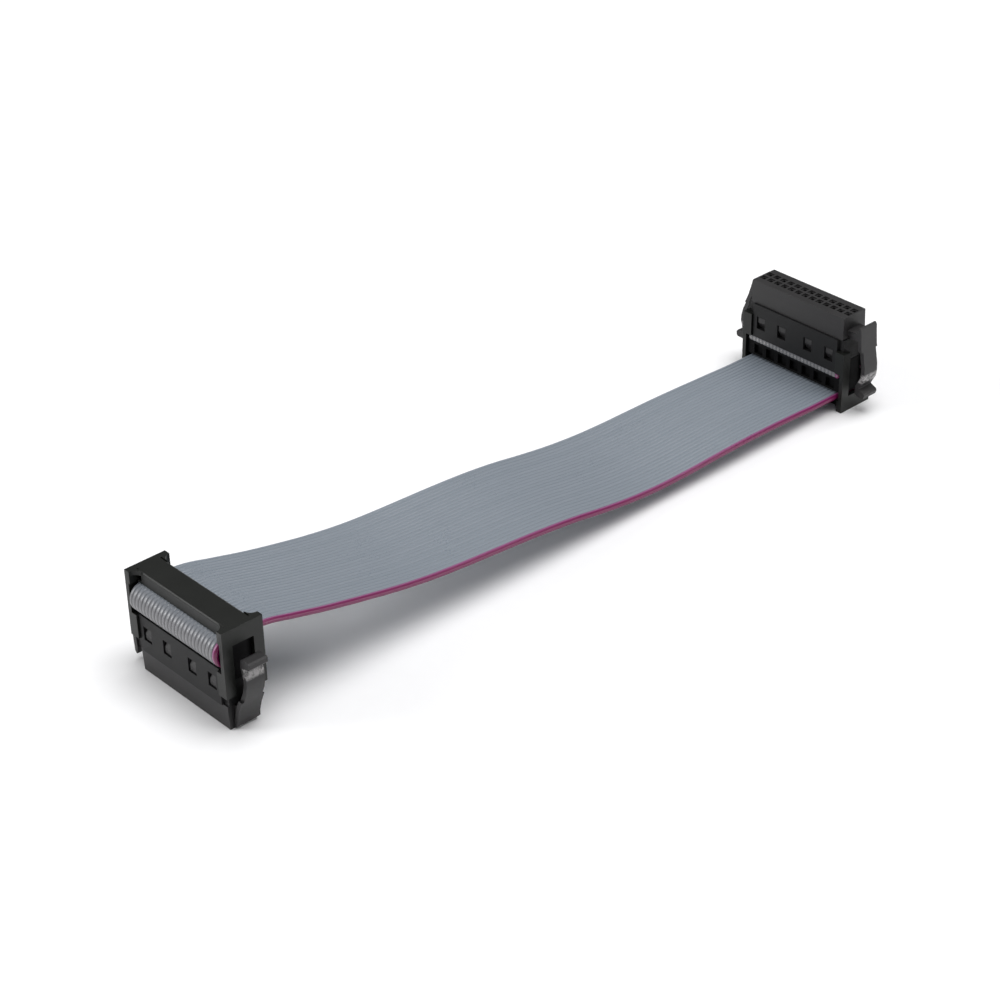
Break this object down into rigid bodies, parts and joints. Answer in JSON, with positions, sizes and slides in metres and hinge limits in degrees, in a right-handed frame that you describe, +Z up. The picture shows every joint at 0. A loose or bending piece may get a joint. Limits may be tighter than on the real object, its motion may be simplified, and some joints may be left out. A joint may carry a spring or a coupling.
{
  "type": "ribbon cable",
  "caption": "Short flat ribbon cable with a marked edge wire and a latching two-row socket connector with strain relief pressed on each end.",
  "frame": {"origin": "middle of the first connector's mating face, which it stands on", "axes": "+X along the connectors towards the magenta edge wire, +Y along the cable towards the second connector, +Z up"},
  "size_m": [0.0238, 0.1116, 0.014],
  "materials": {
    "socket_plastic": "moulded black, satin",
    "carrier_plastic": "moulded black, matt",
    "relief_plastic": "moulded black, matt",
    "ribbon_pvc": "grey insulation with ribs and one magenta edge wire",
    "wire_copper": "tinned copper strands",
    "contact_metal": "gold plated"
  },
  "bodies": {
    "root": {"ribbon_insulation": "ribbon_pvc", "conductors": "wire_copper", "socket_body_a": "socket_plastic", "contact_carrier_a": "carrier_plastic", "wire_cover_a": "carrier_plastic", "strain_relief_a": "relief_plastic", "contacts_a_01": "contact_metal", "contacts_a_02": "contact_metal", "contacts_a_03": "contact_metal", "contacts_a_04": "contact_metal", "contacts_a_05": "contact_metal", "contacts_a_06": "contact_metal", "contacts_a_07": "contact_metal", "contacts_a_08": "contact_metal", "contacts_a_09": "contact_metal", "contacts_a_10": "contact_metal", "contacts_a_11": "contact_metal", "contacts_a_12": "contact_metal", "contacts_a_13": "contact_metal", "socket_body_b": "socket_plastic", "contact_carrier_b": "carrier_plastic", "wire_cover_b": "carrier_plastic", "strain_relief_b": "relief_plastic", "contacts_b_01": "contact_metal", "contacts_b_02": "contact_metal", "contacts_b_03": "contact_metal", "contacts_b_04": "contact_metal", "contacts_b_05": "contact_metal", "contacts_b_06": "contact_metal", "contacts_b_07": "contact_metal", "contacts_b_08": "contact_metal", "contacts_b_09": "contact_metal", "contacts_b_10": "contact_metal", "contacts_b_11": "contact_metal", "contacts_b_12": "contact_metal", "contacts_b_13": "contact_metal"}
  },
  "joints": []
}
